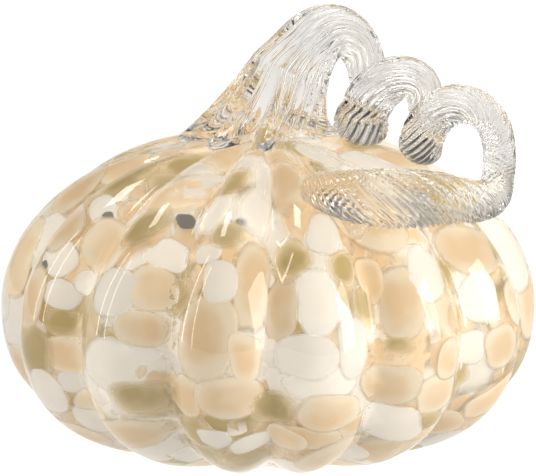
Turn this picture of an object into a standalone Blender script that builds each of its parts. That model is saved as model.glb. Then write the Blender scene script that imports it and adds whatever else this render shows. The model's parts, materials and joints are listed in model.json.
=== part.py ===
"""A hand-blown glass pumpkin: a clear ribbed casing over a layer of coloured glass chips,
an inner bubble behind them, and one clear stem bit that is drawn out into a curled vine.

The origin is the middle of the flat base, +Z is up and the front is at -Y.
"""
import math

import bpy
import numpy as np

mm = 0.001

# Body: the crest line of the lobes, as a dome over a belly that meets at the widest ring
BODY_RADIUS = 75.0 * mm
DOME_RISE = 48.8 * mm            # highest point of the dome above the widest ring
BELLY_DROP = 41.0 * mm           # lowest point of the belly below the widest ring, before flattening
BASE_RADIUS = 26.0 * mm          # flat disc that the pumpkin stands on
DOME_POWERS = (0.875, 1.025)     # powers of cosine and sine: how square the dome is
BELLY_POWERS = (0.70, 0.855)

# Lobes and the grooves between them
LOBES = 14
GROOVE_SHARE = 0.069             # depth of a groove as a share of the radius there
LOBE_FULLNESS = 0.75             # power of the sine that rounds a lobe
GROOVE_TURN = math.radians(0.9)  # the groove nearest the front stands this far round
LOBE_SQUEEZE = math.radians(3.2) # lobes at the front and back are narrower than those at the sides
BASE_FADE = 25.0 * mm            # the grooves run out over this much radius at the base
NECK_FADE = 20.0 * mm            # and over this much at the neck

# Wall, from the outside in
CASING_WALL = 2.5 * mm
CHIP_THICKNESS = 1.1 * mm
BUBBLE_WALL = 1.7 * mm
LAYER_GAP = 0.35 * mm
NECK_RADIUS = 9.0 * mm           # hole left by the blowpipe, which the stem closes

# Chips: one patch for each lobe and row
CHIP_SPACING = 0.7 * mm          # clear glass between two patches
CHIP_BEVEL = 0.35 * mm           # a patch is this much smaller on its outer face
CORNER_CUT = 0.3                 # a corner is drawn in by this share of its facet
CHIP_ROWS = {
    "foot": (0.15, 4.0),
    "belly": (4.0, 8.0),
    "shoulder": (8.0, 11.7),
}
CHIP_COLOURS = {
    "foot": "pwopwwpowpwpow",
    "belly": "wppowpwpwopwpp",
    "shoulder": "opwpowppwpopwp",
}

# Stem: plug in the neck, pressed foot, trunk and vine
FIT_GAP = 0.35 * mm
FOOT_RADIUS = 25.0 * mm          # reach of the longest toe
FOOT_OUTLINE = (                 # degrees from the front towards +X, share of FOOT_RADIUS
    (-175, 0.72), (-150, 0.92), (-122, 0.74), (-86, 1.00), (-62, 0.68), (-41, 0.96),
    (-20, 0.46), (-2, 0.90), (17, 0.50), (45, 0.50), (75, 0.62), (105, 0.80),
    (130, 0.66), (155, 0.90),
)
TOE_THICKNESS = 2.6 * mm
FOOT_WAIST = 0.45                # how far the flank is drawn in, 0 for a straight cone
PLUG_TAIL = 0.5 * mm             # the plug ends this far inside the bubble

# Vine: x and y on a body of STATION_BODY, clear height under the rod, half width, half thickness
STATION_BODY = 75.0
VINE_STATIONS = (
    (6.1, 2.6, 4.7, 11.6, 11.6),
    (8.9, 3.5, 11.0, 10.0, 10.0),
    (12.2, 5.0, 16.4, 8.9, 8.9),
    (16.4, 8.0, 20.3, 7.9, 7.9),
    (20.9, 11.0, 21.0, 7.0, 7.0),
    (24.8, 15.0, 19.3, 6.2, 6.2),
    (27.2, 18.0, 15.5, 5.7, 5.7),
    (28.4, 19.5, 10.3, 5.5, 5.5),
    (28.7, 18.6, 4.4, 5.6, 5.6),
    (28.0, 13.6, 0.8, 6.2, 5.0),
    (26.6, 5.0, 0.1, 7.2, 4.3),
    (25.4, -3.4, 0.3, 7.6, 4.6),
    (26.2, -7.6, 3.9, 7.3, 6.4),
    (30.2, -5.0, 9.4, 6.7, 6.7),
    (36.4, 0.0, 13.7, 6.2, 6.2),
    (41.4, 4.5, 13.9, 5.6, 5.6),
    (43.9, 8.0, 10.8, 5.2, 5.2),
    (44.5, 9.3, 5.5, 5.1, 5.1),
    (43.9, 5.8, 1.2, 5.3, 4.8),
    (42.5, -1.4, 0.1, 6.0, 4.2),
    (41.8, -8.4, 0.8, 6.3, 4.9),
    (43.3, -12.7, 5.6, 6.0, 6.0),
    (46.8, -12.0, 10.8, 5.8, 5.8),
    (51.1, -9.0, 13.2, 5.6, 5.6),
    (55.4, -5.5, 13.7, 5.4, 5.4),
    (59.6, -2.0, 13.2, 5.1, 5.1),
    (62.9, 0.5, 11.2, 4.7, 4.7),
    (64.3, 1.2, 7.7, 4.6, 4.6),
    (64.0, -1.6, 3.1, 4.6, 4.6),
    (62.2, -9.6, 0.3, 5.0, 4.6),
    (58.4, -19.0, 0.1, 5.6, 4.3),
    (53.8, -25.4, 0.1, 6.4, 4.2),
    (48.3, -30.5, 0.1, 7.6, 4.2),
    (41.9, -36.1, 0.1, 9.2, 4.2),
    (35.0, -41.2, 0.1, 9.8, 4.2),
    (28.3, -44.6, 0.1, 9.6, 4.0),
    (21.6, -46.0, 0.1, 8.6, 3.7),
    (16.0, -45.4, 0.1, 6.6, 3.0),
    (12.1, -43.6, 0.1, 4.0, 2.2),
)
TIP_REACH = 2.2 * mm             # the rounded tip goes this far past the last station
BEND_LIMIT = 0.85                # a rod never fills more than this share of its bend's radius

# Fineness of the facets
COLUMNS_PER_LOBE = 4
BELLY_RINGS = 5
DOME_RINGS = 7
STEM_SIDES = 24
RINGS_PER_STATION = 2
FLANK_RINGS = 5

MATERIALS = {
    "clear_glass": ((0.93, 0.95, 0.94, 1.0), 0.03, 1.0),
    "white_glass": ((0.93, 0.91, 0.86, 1.0), 0.12, 0.0),
    "peach_glass": ((0.80, 0.62, 0.44, 1.0), 0.12, 0.0),
    "olive_glass": ((0.55, 0.47, 0.25, 1.0), 0.12, 0.2),
}
CHIP_MATERIALS = {"w": "white_glass", "p": "peach_glass", "o": "olive_glass"}


# ---- profile of the body

def belly_angle():
    """Latitude, below the widest ring, at which the belly reaches the base disc."""
    return -math.acos((BASE_RADIUS / BODY_RADIUS) ** (1 / BELLY_POWERS[0]))


def neck_angle():
    """Latitude at which the dome reaches the neck."""
    return math.acos((NECK_RADIUS / BODY_RADIUS) ** (1 / DOME_POWERS[0]))


def equator_height():
    """Height of the widest ring, so that the base disc lies at z = 0."""
    return BELLY_DROP * abs(math.sin(belly_angle())) ** BELLY_POWERS[1]


def profile(latitude):
    """Radius and height of the crest line at a latitude in radians."""
    sine = np.sin(latitude)
    cosine = np.cos(latitude)
    upper = latitude >= 0
    radius = BODY_RADIUS * cosine ** np.where(upper, DOME_POWERS[0], BELLY_POWERS[0])
    dome = DOME_RISE * np.abs(sine) ** DOME_POWERS[1]
    belly = -BELLY_DROP * np.abs(sine) ** BELLY_POWERS[1]
    return radius, equator_height() + np.where(upper, dome, belly)


def even_latitudes(start, end, spans):
    """Latitudes that cut the crest line between start and end into equal lengths."""
    fine = np.linspace(start, end, 400)
    radius, height = profile(fine)
    length = np.concatenate([[0], np.cumsum(np.hypot(np.diff(radius), np.diff(height)))])
    return np.interp(np.linspace(0, length[-1], spans + 1), length, fine)


def ring_latitudes():
    """Latitudes of the rings from the base to the neck, with one on the widest ring."""
    belly = even_latitudes(belly_angle(), 0.0, BELLY_RINGS)
    dome = even_latitudes(0.0, neck_angle(), DOME_RINGS)
    return np.concatenate([belly[:-1], [0.0], dome[1:]])


def dome_height(radius):
    """Height of the dome's crests at a distance from the middle line."""
    latitude = np.arccos((np.asarray(radius) / BODY_RADIUS) ** (1 / DOME_POWERS[0]))
    return profile(latitude)[1]


def dome_slope(radius):
    """Fall of the dome for each metre outwards, as a negative number."""
    step = 0.05 * mm
    inner = np.maximum(np.asarray(radius) - step, step)
    outer = inner + 2 * step
    return (dome_height(outer) - dome_height(inner)) / (outer - inner)


# ---- layers of the wall

def lobe_angles():
    """Angle of each column of points, from the front towards +X."""
    even = np.arange(LOBES * COLUMNS_PER_LOBE) * 2 * math.pi / (LOBES * COLUMNS_PER_LOBE)
    return even + GROOVE_TURN - LOBE_SQUEEZE * np.sin(2 * even)


def groove_depth(radius, upper):
    """Depth of the grooves below the crests for each ring, fading out at both ends."""
    start = np.where(upper, NECK_RADIUS, BASE_RADIUS)
    length = np.where(upper, NECK_FADE, BASE_FADE)
    return GROOVE_SHARE * radius * np.clip((radius - start) / length, 0, 1)


def layer(depth):
    """Points of one layer of the wall, rings by columns, at a depth under the outer skin."""
    latitude = ring_latitudes()
    radius, height = profile(latitude)
    step = 1e-4
    ahead = profile(np.minimum(latitude + step, math.pi / 2))
    behind = profile(latitude - step)
    along = np.stack([ahead[0] - behind[0], ahead[1] - behind[1]])
    along /= np.linalg.norm(along, axis=0)
    column = np.arange(LOBES * COLUMNS_PER_LOBE) / COLUMNS_PER_LOBE
    crest = np.abs(np.sin(math.pi * column)) ** LOBE_FULLNESS
    grooves = groove_depth(radius, latitude >= 0)
    inward = depth + grooves[:, None] * (1 - crest[None, :])
    radii = radius[:, None] - along[1][:, None] * inward
    heights = height[:, None] + along[0][:, None] * inward
    radii[0], heights[0] = BASE_RADIUS, depth
    radii[-1], heights[-1] = NECK_RADIUS, height[-1] - depth
    angle = lobe_angles()[None, :]
    return np.stack([radii * np.sin(angle), -radii * np.cos(angle), heights], axis=-1)


# ---- meshes

def strip_faces(rows, columns, closed):
    """Triangles of a grid of points, facing out where columns turn anticlockwise from above."""
    faces = []
    for row in range(rows - 1):
        for column in range(columns if closed else columns - 1):
            near = row * columns + column
            beside = row * columns + (column + 1) % columns
            if (column // 2) % 2:
                faces += [(near, beside, near + columns), (beside, beside + columns, near + columns)]
            else:
                faces += [(near, beside, beside + columns), (near, beside + columns, near + columns)]
    return faces


def flipped(faces, shift):
    """The same faces turned over, for points that come shift places later."""
    return [tuple(shift + point for point in reversed(face)) for face in faces]


def fan(centre, start, columns, downward):
    """Triangles from a centre point to a ring, facing down or up."""
    faces = []
    for column in range(columns):
        here, beside = start + column, start + (column + 1) % columns
        faces.append((centre, beside, here) if downward else (centre, here, beside))
    return faces


def closed_rings(first_pole, rings, last_pole):
    """Points and faces of a solid made of rings, with a point to close each end."""
    rows, columns = rings.shape[:2]
    points = np.concatenate([rings.reshape(-1, 3), [first_pole, last_pole]])
    faces = strip_faces(rows, columns, True)
    faces += fan(rows * columns, 0, columns, True)
    faces += fan(rows * columns + 1, (rows - 1) * columns, columns, False)
    return points, faces


def open_shell(outer, inner):
    """Points and faces of a wall between two layers, open at the neck and closed at the base."""
    rows, columns = outer.shape[:2]
    count = rows * columns
    base_points = [(0, 0, outer[0, 0, 2]), (0, 0, inner[0, 0, 2])]
    points = np.concatenate([outer.reshape(-1, 3), inner.reshape(-1, 3), base_points])
    skin = strip_faces(rows, columns, True)
    rim = [count - columns + column for column in range(columns)]
    neck = []
    for here, beside in zip(rim, rim[1:] + rim[:1]):
        neck += [(here, beside, count + beside), (here, count + beside, count + here)]
    base = fan(2 * count, 0, columns, True) + fan(2 * count + 1, count, columns, False)
    return points, skin + flipped(skin, count) + neck + base


def slab(outer, inner):
    """Points and faces of a curved slab between two grids of the same size."""
    rows, columns = outer.shape[:2]
    count = rows * columns
    points = np.concatenate([outer.reshape(-1, 3), inner.reshape(-1, 3)])
    front = strip_faces(rows, columns, False)
    back = flipped(front, count)
    edge = [column for column in range(columns - 1)]
    edge += [row * columns + columns - 1 for row in range(rows - 1)]
    edge += [(rows - 1) * columns + column for column in range(columns - 1, 0, -1)]
    edge += [row * columns for row in range(rows - 1, 0, -1)]
    sides = []
    for here, there in zip(edge, edge[1:] + edge[:1]):
        sides += [(here, count + here, count + there), (here, count + there, there)]
    return points, front + back + sides


def add_object(name, points, faces, origin, material, parent):
    """Make an object whose origin stands at the given point."""
    origin = np.asarray(origin, dtype=float)
    mesh = bpy.data.meshes.new(name)
    mesh.from_pydata((points - origin).tolist(), [], faces)
    mesh.materials.append(material)
    mesh.shade_smooth()
    mesh.set_sharp_from_angle(angle=math.radians(40))
    item = bpy.data.objects.new(name, mesh)
    item.location = origin
    item.parent = parent
    bpy.context.scene.collection.objects.link(item)
    return item


def make_material(name, colour, roughness, transmission):
    material = bpy.data.materials.new(name)
    material.use_nodes = True
    shader = material.node_tree.nodes["Principled BSDF"]
    shader.inputs["Base Color"].default_value = colour
    shader.inputs["Roughness"].default_value = roughness
    shader.inputs["Metallic"].default_value = 0.0
    shader.inputs["Transmission Weight"].default_value = transmission
    shader.inputs["IOR"].default_value = 1.5
    return material


# ---- casing and bubble

def make_shell(name, outer_depth, wall, material, parent):
    """An open-necked bubble between two depths of the wall, with a flat bottom."""
    points, faces = open_shell(layer(outer_depth), layer(outer_depth + wall))
    return add_object(name, points, faces, (0, 0, 0), material, parent)


# ---- chips

def layer_at(grid, around, up):
    """Points on a layer's own facets: around counts lobes, up counts rings."""
    rows, columns = grid.shape[:2]
    across = np.asarray(around) * COLUMNS_PER_LOBE
    left = np.floor(across).astype(int)
    low = np.minimum(np.floor(up).astype(int), rows - 2)
    part = (across - left)[..., None]
    rise = (up - low)[..., None]
    near, beside = grid[low, left % columns], grid[low, (left + 1) % columns]
    above, far = grid[low + 1, left % columns], grid[low + 1, (left + 1) % columns]
    below_fold = near + part * (beside - near) + rise * (far - beside)
    above_fold = near + rise * (above - near) + part * (far - above)
    forward = np.where(part > rise, below_fold, above_fold)
    before_fold = near + part * (beside - near) + rise * (above - near)
    past_fold = far + (1 - part) * (above - far) + (1 - rise) * (beside - far)
    backward = np.where(part + rise < 1, before_fold, past_fold)
    return np.where((left // 2 % 2)[..., None] == 1, backward, forward)


def chip_outline(lobe, row, inset):
    """Lobe and ring numbers of a patch's points, drawn in by an inset and with cut corners."""
    start, end = CHIP_ROWS[row]
    ring_radius, ring_height = profile(ring_latitudes())
    spacing = np.hypot(np.diff(ring_radius), np.diff(ring_height)).mean()
    trim = inset / spacing
    between = np.arange(math.floor(start) + 1, math.ceil(end))
    rings = np.concatenate([[start + trim], between, [end - trim]])
    lobe_width = 2 * math.pi * np.interp(rings, np.arange(len(ring_radius)), ring_radius) / LOBES
    around = np.tile(lobe + np.linspace(0, 1, COLUMNS_PER_LOBE + 1), (len(rings), 1))
    around[:, 0] += inset / lobe_width
    around[:, -1] -= inset / lobe_width
    up = np.repeat(rings[:, None], COLUMNS_PER_LOBE + 1, axis=1)
    for corner in ((0, 0), (0, -1), (-1, 0), (-1, -1)):
        inner = tuple(1 if side == 0 else -2 for side in corner)
        around[corner] += (around[inner] - around[corner]) * CORNER_CUT
        up[corner] += (up[inner] - up[corner]) * CORNER_CUT
    return around, up


def make_chips(materials, parent):
    """Patches of fused chips in the gap between the casing and the bubble."""
    outer_depth = CASING_WALL + LAYER_GAP
    outer_layer = layer(outer_depth)
    inner_layer = layer(outer_depth + CHIP_THICKNESS)
    inset = CHIP_SPACING / 2
    for row, colours in CHIP_COLOURS.items():
        for lobe in range(LOBES):
            outer = layer_at(outer_layer, *chip_outline(lobe, row, inset + CHIP_BEVEL))
            inner = layer_at(inner_layer, *chip_outline(lobe, row, inset))
            points, faces = slab(outer, inner)
            colour = colours[lobe % len(colours)]
            name = f"chips_{row}_{lobe + 1:02d}"
            add_object(name, points, faces, points.mean(axis=0), materials[CHIP_MATERIALS[colour]], parent)


# ---- stem

def unit(vectors):
    return vectors / np.linalg.norm(vectors, axis=-1, keepdims=True)


def flowing(values, steps):
    """A smooth line through every row of values, with steps points for each span."""
    ends = np.concatenate([[2 * values[0] - values[1]], values, [2 * values[-1] - values[-2]]])
    share = np.linspace(0, 1, steps, endpoint=False)[:, None]
    spans = []
    for before, start, end, after in zip(ends, ends[1:], ends[2:], ends[3:]):
        bend = 2 * before - 5 * start + 4 * end - after
        twist = 3 * (start - end) + after - before
        spans.append(start + 0.5 * share * (end - before + share * (bend + share * twist)))
    return np.concatenate(spans + [values[-1:]])


def vine_line():
    """Middle line of the vine with its half width and half thickness."""
    table = np.array(VINE_STATIONS)
    place = table[:, :2] * BODY_RADIUS / STATION_BODY
    lift, width, thickness = table[:, 2:].T * mm
    radius = np.linalg.norm(place, axis=1)
    tilt = np.sqrt(1 + dome_slope(radius) ** 2)
    height = dome_height(radius) + (FIT_GAP + lift + thickness) * tilt
    line = flowing(np.column_stack([place, height, width, thickness]), RINGS_PER_STATION)
    return line[:, :3], line[:, 3], line[:, 4]


def dome_normal(place):
    """Direction straight out of the dome under a point."""
    radius = np.linalg.norm(place[:, :2], axis=1, keepdims=True)
    slope = dome_slope(radius)
    return unit(np.concatenate([-slope * place[:, :2] / radius, np.ones_like(radius)], axis=1))


def carried_frames(tangent):
    """Two side directions for each point of a line, carried along without twisting."""
    side = unit(np.array([1.0, 0.0, 0.0]) - tangent[0] * tangent[0, 0])
    sides = [side]
    for direction in tangent[1:]:
        side = side - direction * np.dot(side, direction)
        side = side / np.linalg.norm(side)
        sides.append(side)
    sides = np.array(sides)
    return sides, np.cross(tangent, sides)


def vine_rings():
    """Rings of the vine: ovals that lie flat on the dome, and thinner inside tight bends."""
    place, width, thickness = vine_line()
    tangent = unit(np.gradient(place, axis=0))
    run = np.linalg.norm(np.gradient(place, axis=0), axis=1)[:, None]
    bend = np.gradient(tangent, axis=0) / run
    side, over = carried_frames(tangent)
    turn = np.arange(STEM_SIDES) * 2 * math.pi / STEM_SIDES
    spokes = side[:, None] * np.sin(turn)[None, :, None] - over[:, None] * np.cos(turn)[None, :, None]
    normal = dome_normal(place)
    normal = unit(normal - tangent * np.sum(normal * tangent, axis=1, keepdims=True) + 1e-9)
    upright = np.sum(spokes * normal[:, None], axis=-1) ** 2
    reach = 1 / np.sqrt(upright / thickness[:, None] ** 2 + (1 - upright) / width[:, None] ** 2)
    offset = spokes * reach[..., None]
    inward = np.sum(offset * bend[:, None], axis=-1)
    excess = np.maximum(inward - BEND_LIMIT, 0) / np.maximum(np.sum(bend ** 2, axis=1), 1e-9)[:, None]
    offset = offset - bend[:, None] * excess[..., None]
    tip = place[-1] + tangent[-1] * TIP_REACH
    return place[:, None] + offset, tip


def foot_outline(turn):
    """Reach of the foot at each angle from the front, rounded between its toes and hollows."""
    angles = np.radians([angle for angle, share in FOOT_OUTLINE])
    shares = np.array([share for angle, share in FOOT_OUTLINE])
    angles = np.append(angles, angles[0] + 2 * math.pi)
    shares = np.append(shares, shares[0])
    turn = (turn - angles[0]) % (2 * math.pi) + angles[0]
    before = np.searchsorted(angles, turn, side="right") - 1
    part = (turn - angles[before]) / (angles[before + 1] - angles[before])
    ease = (1 - np.cos(math.pi * part)) / 2
    return FOOT_RADIUS * (shares[before] * (1 - ease) + shares[before + 1] * ease)


def foot_rings():
    """Rings of the plug, of the foot's underside over the dome and of its toes."""
    turn = np.arange(STEM_SIDES) * 2 * math.pi / STEM_SIDES
    compass = np.stack([np.sin(turn), -np.cos(turn)], axis=-1)
    plug = NECK_RADIUS - FIT_GAP
    neck = float(dome_height(NECK_RADIUS))
    wall = CASING_WALL + CHIP_THICKNESS + BUBBLE_WALL + 2 * LAYER_GAP
    toe = foot_outline(turn)
    edge = np.minimum(TOE_THICKNESS / 3, (toe - plug) / 2)

    def ring(radius, height):
        radius = np.broadcast_to(radius, turn.shape)
        height = np.broadcast_to(height, turn.shape)
        return np.column_stack([compass * radius[:, None], height])

    def over_dome(radius, lift):
        tilt = np.sqrt(1 + dome_slope(radius) ** 2)
        return ring(radius, dome_height(radius) + (FIT_GAP + lift) * tilt)

    rings = [ring(plug, neck - wall - PLUG_TAIL), over_dome(plug, 0)]
    rings += [over_dome((plug + toe - edge) / 2, 0), over_dome(toe - edge, 0)]
    rings += [over_dome(toe, TOE_THICKNESS / 2), over_dome(toe - edge, TOE_THICKNESS)]
    return np.array(rings), (0, 0, neck - wall - PLUG_TAIL)


def flank_rings(foot, trunk):
    """Rings that carry the toes up into the round trunk, drawn in most away from its lean."""
    lean = (foot[:, 0] / np.abs(foot[:, 0]).max() + 1) / 2
    waist = FOOT_WAIST * (0.25 + 0.75 * lean)[:, None]
    middle = (foot + trunk) / 2
    elbow = middle * (1 - waist) + np.column_stack([trunk[:, :2], foot[:, 2]]) * waist
    share = np.linspace(0, 1, FLANK_RINGS + 2)[1:-1][:, None, None]
    return (1 - share) ** 2 * foot + 2 * share * (1 - share) * elbow + share ** 2 * trunk


def make_stem(material, parent):
    """Plug, foot, trunk and vine as one bit of glass."""
    foot, plug_end = foot_rings()
    vine, tip = vine_rings()
    rings = np.concatenate([foot, flank_rings(foot[-1], vine[0]), vine])
    points, faces = closed_rings(plug_end, rings, tip)
    neck = float(dome_height(NECK_RADIUS))
    return add_object("stem_vine", points, faces, (0, 0, neck), material, parent)


def main():
    for item in list(bpy.data.objects):
        bpy.data.objects.remove(item, do_unlink=True)
    materials = {name: make_material(name, *values) for name, values in MATERIALS.items()}
    pumpkin = bpy.data.objects.new("glass_pumpkin", None)
    bpy.context.scene.collection.objects.link(pumpkin)
    clear = materials["clear_glass"]
    make_shell("outer_casing", 0.0, CASING_WALL, clear, pumpkin)
    bubble_depth = CASING_WALL + CHIP_THICKNESS + 2 * LAYER_GAP
    make_shell("inner_bubble", bubble_depth, BUBBLE_WALL, clear, pumpkin)
    make_chips(materials, pumpkin)
    make_stem(clear, pumpkin)
    bpy.context.view_layer.update()


main()
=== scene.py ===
import json
import math
import bpy
import numpy as np
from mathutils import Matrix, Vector


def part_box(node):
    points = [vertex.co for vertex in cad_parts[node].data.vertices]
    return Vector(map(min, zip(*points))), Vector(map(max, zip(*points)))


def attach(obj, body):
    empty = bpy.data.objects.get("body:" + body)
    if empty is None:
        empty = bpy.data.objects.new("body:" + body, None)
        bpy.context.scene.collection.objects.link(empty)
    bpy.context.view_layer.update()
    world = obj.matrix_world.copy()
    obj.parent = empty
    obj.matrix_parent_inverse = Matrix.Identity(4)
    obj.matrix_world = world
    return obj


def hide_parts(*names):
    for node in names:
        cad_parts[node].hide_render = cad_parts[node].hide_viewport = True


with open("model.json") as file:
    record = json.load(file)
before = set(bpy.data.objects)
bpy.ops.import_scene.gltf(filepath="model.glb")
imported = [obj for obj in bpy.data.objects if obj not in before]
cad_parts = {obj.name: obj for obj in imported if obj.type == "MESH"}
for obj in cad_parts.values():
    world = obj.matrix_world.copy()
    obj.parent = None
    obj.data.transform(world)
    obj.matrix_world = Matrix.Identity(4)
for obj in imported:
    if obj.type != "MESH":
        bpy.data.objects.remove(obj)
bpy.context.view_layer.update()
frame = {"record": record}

mm = 0.001
casingLow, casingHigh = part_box("outer_casing")

# sizes of the blown body, in metres; its outer radius comes from the frame
body = dict(
    radius=(casingHigh.x - casingLow.x) / 2,
    domeRise=48.8 * mm, bellyDrop=41.0 * mm, baseRadius=26 * mm,
    domePowers=(0.875, 1.025), bellyPowers=(0.70, 0.855),
    lobes=14, grooveShare=0.078, fullness=0.75,
    grooveRound=0.20,                     # rounds the bottom of each groove
    turn=math.radians(0.9), squeeze=math.radians(3.2),
    baseFade=14 * mm, neckRadius=9 * mm, neckFade=20 * mm,
    wall=6.0 * mm, ripple=0.10 * mm,
    # depth of the hollow's grooves as a share of the skin's, and its floor as a share of the wall
    innerGrooves=0.75, floorShare=0.8,
    # how far before the pole the last ring of each surface lies
    outerStop=1.2 * mm, innerStop=2.0 * mm,
    # points on the meridian below and above the widest ring, and points of the two grids
    bellyPoints=900, domePoints=1100,
    outerGrid=(336, 150), innerGrid=(168, 70),
)


def meshFromGrid(points, poles):
    # rows by columns of points become quads, the last column joined to the first, and each
    # pole is one point that closes that end with a fan
    rows, columns = points.shape[:2]
    row, column = np.meshgrid(np.arange(rows - 1), np.arange(columns), indexing="ij")
    a = row * columns + column
    b = row * columns + (column + 1) % columns
    quads = np.stack([a, b, b + columns, a + columns], axis=-1).reshape(-1, 4)
    vertices = points.reshape(-1, 3)
    here = np.arange(columns)
    beside = (here + 1) % columns
    first, last = len(vertices), (rows - 1) * columns
    low = np.stack([np.full(columns, first), beside, here], axis=-1)
    high = np.stack([np.full(columns, first + 1), last + here, last + beside], axis=-1)
    vertices = np.concatenate([vertices, [poles[0]], [poles[1]]])
    return vertices, quads, np.concatenate([low, high])


def addMesh(name, vertices, quads, triangles, attributes=None):
    mesh = bpy.data.meshes.new(name)
    mesh.vertices.add(len(vertices))
    mesh.vertices.foreach_set("co", np.asarray(vertices, np.float32).ravel())
    loops = np.concatenate([quads.ravel(), triangles.ravel()]).astype(np.int32)
    starts = np.concatenate([np.arange(len(quads)) * 4, len(quads) * 4 + np.arange(len(triangles)) * 3])
    mesh.loops.add(len(loops))
    mesh.loops.foreach_set("vertex_index", loops)
    mesh.polygons.add(len(quads) + len(triangles))
    mesh.polygons.foreach_set("loop_start", starts.astype(np.int32))
    mesh.update(calc_edges=True)
    mesh.validate()
    mesh.shade_smooth()
    for key, values in (attributes or {}).items():
        layer = mesh.attributes.new(key, "FLOAT", "POINT")
        layer.data.foreach_set("value", np.asarray(values, np.float32).ravel())
    piece = bpy.data.objects.new(name, mesh)
    bpy.context.scene.collection.objects.link(piece)
    return piece


def crest(latitude):
    # radius is the body radius times a power of the cosine of the latitude, height the rise or the
    # drop times a power of its sine, with one pair of powers above the widest ring and one below
    latitude = np.asarray(latitude, float)
    upper = latitude >= 0
    cosine, sine = np.abs(np.cos(latitude)), np.abs(np.sin(latitude))
    radius = body["radius"] * cosine ** np.where(upper, body["domePowers"][0], body["bellyPowers"][0])
    rise = body["domeRise"] * sine ** body["domePowers"][1]
    drop = -body["bellyDrop"] * sine ** body["bellyPowers"][1]
    return radius, np.where(upper, rise, drop)


baseLatitude = -math.acos((body["baseRadius"] / body["radius"]) ** (1 / body["bellyPowers"][0]))
equator = float(-crest(baseLatitude)[1])
widest = body["bellyPoints"] - 1        # number of the point on the widest ring
fineLatitude = np.concatenate([np.linspace(baseLatitude, 0, body["bellyPoints"])[:-1],
                               np.linspace(0, math.pi / 2, body["domePoints"])])
fineRadius, fineHeight = crest(fineLatitude)
fineLength = np.concatenate([[0], np.cumsum(np.hypot(np.diff(fineRadius), np.diff(fineHeight)))])
fineLength -= fineLength[widest]        # zero on the widest ring, negative below it


def lobeShare(angle):
    # 1 on a crest and 0 in a groove: a power of the squared sine of half the lobes times the angle,
    # lifted a little so that the groove is round; the angle is first squeezed by the sine of twice
    # itself, which takes a few steps to settle
    even = angle - body["turn"]
    for step in range(4):
        even = angle - body["turn"] + body["squeeze"] * np.sin(2 * even)
    sine = np.sin(even * body["lobes"] / 2) ** 2
    soft, power = body["grooveRound"], body["fullness"]
    share = (sine + soft ** 2) ** (power / 2)
    low, high = soft ** power, (1 + soft ** 2) ** (power / 2)
    return (share - low) / (high - low)


def bodyPoint(angle, length, depth, grooves=1.0):
    # a point at an angle from the front and at a length along the meridian from the widest ring is
    # moved square to the wall by its depth, the groove there and a ripple of three sine waves
    angle, length, depth = np.broadcast_arrays(angle, length, depth)
    radius = np.interp(length, fineLength, fineRadius)
    height = np.interp(length, fineLength, fineHeight)
    step = 0.4 * mm
    ahead, behind = length + step, length - step
    outR = np.interp(ahead, fineLength, fineRadius) - np.interp(behind, fineLength, fineRadius)
    outZ = np.interp(ahead, fineLength, fineHeight) - np.interp(behind, fineLength, fineHeight)
    size = np.hypot(outR, outZ)
    outR, outZ = outR / size, outZ / size
    fadeLow = np.clip((radius - body["baseRadius"]) / body["baseFade"], 0, 1)
    fadeHigh = np.clip((radius - body["neckRadius"] * 0.6) / body["neckFade"], 0, 1)
    fade = np.where(length < 0, fadeLow, fadeHigh)
    groove = body["grooveShare"] * radius * fade * grooves * (1 - lobeShare(angle))
    wave = np.sin(3 * angle + length * 70) + np.sin(5 * angle - length * 95 + 1.3)
    wave = wave + np.sin(11 * angle + length * 150 + 4)
    inward = depth + groove + body["ripple"] * fade * (1.2 + 0.4 * wave)
    radius = radius - outZ * inward
    height = height + outR * inward + equator
    return np.stack([radius * np.sin(angle), -radius * np.cos(angle), height], axis=-1)


def makeBody():
    # one clear wall: the ribbed skin outside and the smooth bubble inside
    columns, rows = body["outerGrid"]
    angle = np.linspace(0, 2 * math.pi, columns, endpoint=False)[None, :]
    length = np.linspace(fineLength[0], fineLength[-1] - body["outerStop"], rows)[:, None]
    outer = bodyPoint(angle, length, 0.0)
    outer[0, :, 2] = 0.0
    top = outer[-1].mean(axis=0)
    skin = meshFromGrid(outer, ((0, 0, 0), (0, 0, top[2])))
    columns, rows = body["innerGrid"]
    angle = np.linspace(0, 2 * math.pi, columns, endpoint=False)[None, :]
    length = np.linspace(fineLength[0], fineLength[-1] - body["innerStop"], rows)[:, None]
    inner = bodyPoint(angle, length, body["wall"], body["innerGrooves"])
    floor = body["wall"] * body["floorShare"]
    inner[:, :, 2] = np.maximum(inner[:, :, 2], floor)
    bubble = meshFromGrid(inner, ((0, 0, floor), (0, 0, inner[-1, 0, 2])))
    shift = len(skin[0])
    vertices = np.concatenate([skin[0], bubble[0]])
    quads = np.concatenate([skin[1], bubble[1][:, ::-1] + shift])
    fans = np.concatenate([skin[2], bubble[2][:, ::-1] + shift])
    return addMesh("clear_body", vertices, quads, fans)


chips = dict(
    thickness=0.4 * mm, nearDepth=2.5 * mm, farDepth=3.2 * mm, backDepth=5.0 * mm, backSpacing=9.5 * mm,
    middleDepth=4.1 * mm, middleSpacing=9.0 * mm, middleWidth=(19 * mm, 27 * mm), frontScale=1.08,
    grooves=0.66,
    # sides round each chip and shares of its size where its rings lie
    nearMesh=(24, (0.5, 0.84, 1.0)), deepMesh=(16, (0.6, 1.0)),
    # where the rim starts to fade and how much the middle covers
    cover={"white": (0.80, 0.97), "peach": (0.84, 1.0), "olive": (0.50, 0.95), "middle": (0.60, 1.0),
           "gap": (0.84, 1.001)},         # more than 1 marks a dark spot of painted shade between chips
    # depth of the dark spots of painted shade
    shadeSpotDepth=2.8 * mm,
    neckLength=42 * mm, neckCover=(0.50, 0.97),
    spacing=10.5 * mm, fillWidth=(13 * mm, 19 * mm), fillStretch=(0.9, 1.35),
    colourShares=(0.40, 0.36, 0.24), seed=7, attempts=9000,
)

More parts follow.
